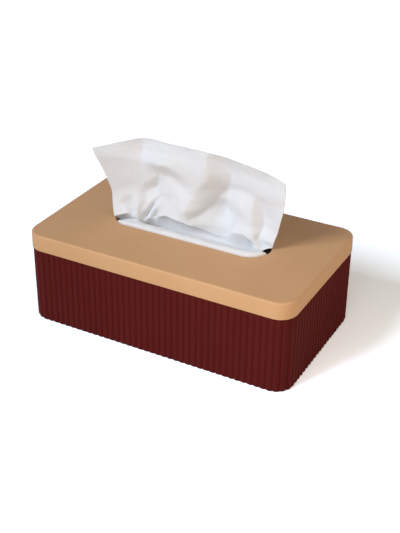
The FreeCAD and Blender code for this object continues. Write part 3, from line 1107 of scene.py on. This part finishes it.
    def lower_rows(self, share: np.ndarray) -> list[np.ndarray]:
        """The rows after the fan's foot: hollow, roll, and the folded tail in the box.

        Args:
            share: how far across each column lies.

        Returns:
            The control rows in order.
        """
        foot = through(self.foot, share)
        left = 1 - ease(share, *self.left_end)
        right = ease(share, *self.right_end)
        start = ease(share, *self.overhang_start)
        overhang = start * (1 - 0.1 * ease(share, 0.7, 0.76) - 0.9 * ease(share, 0.86, 0.92)) + left
        hidden = start * (1 - ease(share, 0.7, 0.86))
        ends = (1 - 0.35 * (1 - ease(share, 0.0, 0.05))) * (1 - 0.4 * ease(share, 0.97, 1.0))
        parts = np.column_stack([np.ones_like(share), overhang, overhang * hidden, left, right])
        under, deep = (foot + parts @ np.array(shifts) for shifts in (self.under_shifts, self.deep_shifts))
        sides = parts[:, [0, 3, 4]]
        deep[:, 1] = np.minimum(deep[:, 1], self.deep_back)
        deep[:, 2] = sides @ self.deep_heights
        front = self.along_slot(share, self.front_inset, sides @ self.front_heights)
        front[:, 0] += sides @ self.front_shifts
        rows = [foot, under, deep, (deep + front) / 2 - [0, 0, self.sag], front]
        for inset, low, rise, at_hem in self.roll:
            row = self.along_slot(share, inset, low + rise * ends + at_hem * left)
            row[:, 0] -= max(0.0, inset - 6.5) * 1.8 * right
            rows.append(row)
        rows += [self.along_slot(share, 0.8, 79.4), self.along_slot(share, 1.3, 75.0)]
        x = self.tail_half * (2 * share - 1)
        for number, (y, z) in enumerate(self.tail):
            lean = 0.7 * np.sin(share * 19 + 1.7 * number) + 0.4 * np.sin(share * 43 + 2.9 * number)
            gather = 1.9 * np.sin(share * 2 * math.pi * self.tail_gathers) * min(1.0, (number + 1) / 3)
            rows.append(np.column_stack([x, y + 0.3 * lean + gather, z + 0.6 * lean]))
        return rows

    def grid(self) -> np.ndarray:
        """The whole sheet with its folds, from the fan's top edge to the tail's end.

        Returns:
            The grid of points.
        """
        share = np.linspace(0, 1, self.columns)
        control = np.concatenate([self.fan(share), np.stack(self.lower_rows(share))])
        points = spline_rows(control, self.rows)
        station = np.linspace(0, len(control) + 1, self.rows)[:, None]
        standing = 1 - ease(station, self.fan_rows + 0.2, self.fan_rows + 2.4)
        x, z = points[..., 0], points[..., 2]
        forward = sum(shape.lift(x, z) for shape in FAN_FOLDS + FAN_SWELLS)
        forward += sum(height * ripples(np.stack([x, z], axis=-1), *wave) for height, *wave in self.fan_waves)
        points[..., 1] -= forward * standing
        lying = (1 - standing) * (1 - ease(station, self.fan_rows + 11, self.fan_rows + 13))
        points[..., 2] += lying * self.roll_waves[0] * ripples(points[..., :2], *self.roll_waves[1:])
        return points

    def ply(self, points: np.ndarray, side: float, drop: float) -> np.ndarray:
        """One ply: the sheet moved along its normal, its upper right edge drawn down a little.

        Args:
            points: the grid of the whole sheet.
            side: how far towards the front the ply lies.
            drop: how far down its edge is drawn at the right.

        Returns:
            The grid of the ply.
        """
        normal = np.cross(np.gradient(points, axis=0), np.gradient(points, axis=1))
        moved = points + side * normal / np.maximum(np.linalg.norm(normal, axis=2, keepdims=True), 1e-9)
        near_edge = 1 - ease(np.arange(len(points))[:, None], 0, self.drop_rows)
        moved[..., 2] -= drop * near_edge * ease(points[..., 0], *self.drop_range)
        return moved

    def build(self) -> None:
        """Makes and dresses the two plies."""
        points = self.grid()
        material = CrepedPaper().make()
        half = self.ply_gap / 2
        for name, side, drop in (("back_ply", -half, 0.0), ("front_ply", half, self.front_ply_drop)):
            sheet = sheet_object("popup_tissue_" + name, self.ply(points, side, drop), self.thickness)
            fit_out(sheet, "tissue", "tissue_paper", material, "popup_tissue")


# ---- studio


@dataclass
class Studio:
    """Plain pale floor, white surroundings, soft lamps, and the camera."""

    azimuth_deg: float = 28.12
    elevation_deg: float = 29.79
    roll_deg: float = 0.64
    distance: float = 870.85
    aim: tuple[float, float, float] = (0.0, 0.0, 50.0)
    aim_right: float = 6.77
    aim_up: float = -1.73
    lens: float = 69.887
    floor_half: float = 6000.0
    surround: float = 0.07
    surround_colour: str = "FFE9D6"

    def camera(self) -> None:
        """Sets the camera at its azimuth and elevation about the aim point, slid a little."""
        turn, tilt, roll = (math.radians(a) for a in (self.azimuth_deg, 90 - self.elevation_deg, self.roll_deg))
        axes = Matrix.Rotation(turn, 4, "Z") @ Matrix.Rotation(tilt, 4, "X") @ Matrix.Rotation(roll, 4, "Z")
        slide = Vector((self.aim_right, self.aim_up, self.distance))
        data = bpy.data.cameras.new("camera")
        data.lens = self.lens
        data.clip_end = 100.0
        camera = bpy.data.objects.new("camera", data)
        camera.matrix_world = Matrix.Translation(Vector(self.aim) * MM) @ axes @ Matrix.Translation(slide * MM)
        bpy.context.scene.collection.objects.link(camera)
        bpy.context.scene.camera = camera

    def lamp(
        self, name: str, place: tuple[float, float, float], size: float, strength: float, colour: str, far: bool
    ) -> None:
        """Adds a soft lamp that faces the middle of the object.

        Args:
            name: the lamp's name.
            place: where it is, or for a far lamp the direction that it shines from.
            size: the side of its square, or the width of a far lamp in degrees.
            strength: in watts, or in watts on each square metre for a far lamp.
            colour: its light's colour.
            far: True if it is so far off that it lights everything evenly.
        """
        data = bpy.data.lights.new(name, "SUN" if far else "AREA")
        data.energy = strength
        data.color = linear(colour)[:3]
        if far:
            data.angle = math.radians(size)
        else:
            data.size = size * MM
        lamp = bpy.data.objects.new(name, data)
        direction = Vector(self.aim) - Vector(place)
        turn = direction.to_track_quat("-Z", "Y").to_matrix().to_4x4()
        lamp.matrix_world = Matrix.Translation(Vector(place) * MM) @ turn
        bpy.context.scene.collection.objects.link(lamp)

    def world(self) -> None:
        """Lights the object evenly from all round, and shows as plain white."""
        world = bpy.data.worlds.new("surroundings")
        bpy.context.scene.world = world
        world.use_nodes = True
        tree = world.node_tree
        tree.nodes.clear()
        light = add_node(tree, "Background", {"Color": linear(self.surround_colour), "Strength": self.surround})
        white = add_node(tree, "Background", {"Color": linear(WHITE), "Strength": 1.0})
        both = add_node(tree, "MixShader", {0: seen_rays(tree), 1: light, 2: white})
        add_node(tree, "OutputWorld", {"Surface": both})

    def floor(self) -> None:
        """Lays the floor under the object."""
        half = self.floor_half
        shells = Shells()
        corners = [[[-half, -half, 0], [half, -half, 0]], [[-half, half, 0], [half, half, 0]]]
        shells.add(np.array(corners), wrap_columns=False)
        floor = shells.make("floor")
        floor.data.materials.append(PaintedFloor().make())

    def build(self) -> None:
        """Makes the camera, floor, surroundings and lamps."""
        self.camera()
        self.floor()
        self.world()
        self.lamp("key", (-900, -1500, 1180), size=25, strength=2.52, colour="ECF4FF", far=True)
        self.lamp("back_fill", (1400, 450, 600), size=80, strength=1.15, colour="FFFAF0", far=True)
        self.lamp("right_box", (700, -300, 350), size=300, strength=1.05, colour="FFDCAC", far=False)
        self.lamp("front_box", (120, -340, 210), size=200, strength=0.32, colour="FFFDFA", far=False)


# ---- all of it


def main() -> None:
    """Builds the studio and every piece of the tissue box, in order."""
    for part in (Studio(), FlutedCase(), Lid(), FootPads(), TissueStack(), StandingTissue()):
        part.build()
    bpy.context.scene.view_settings.view_transform = "Standard"


if __name__ == "__main__":
    main()
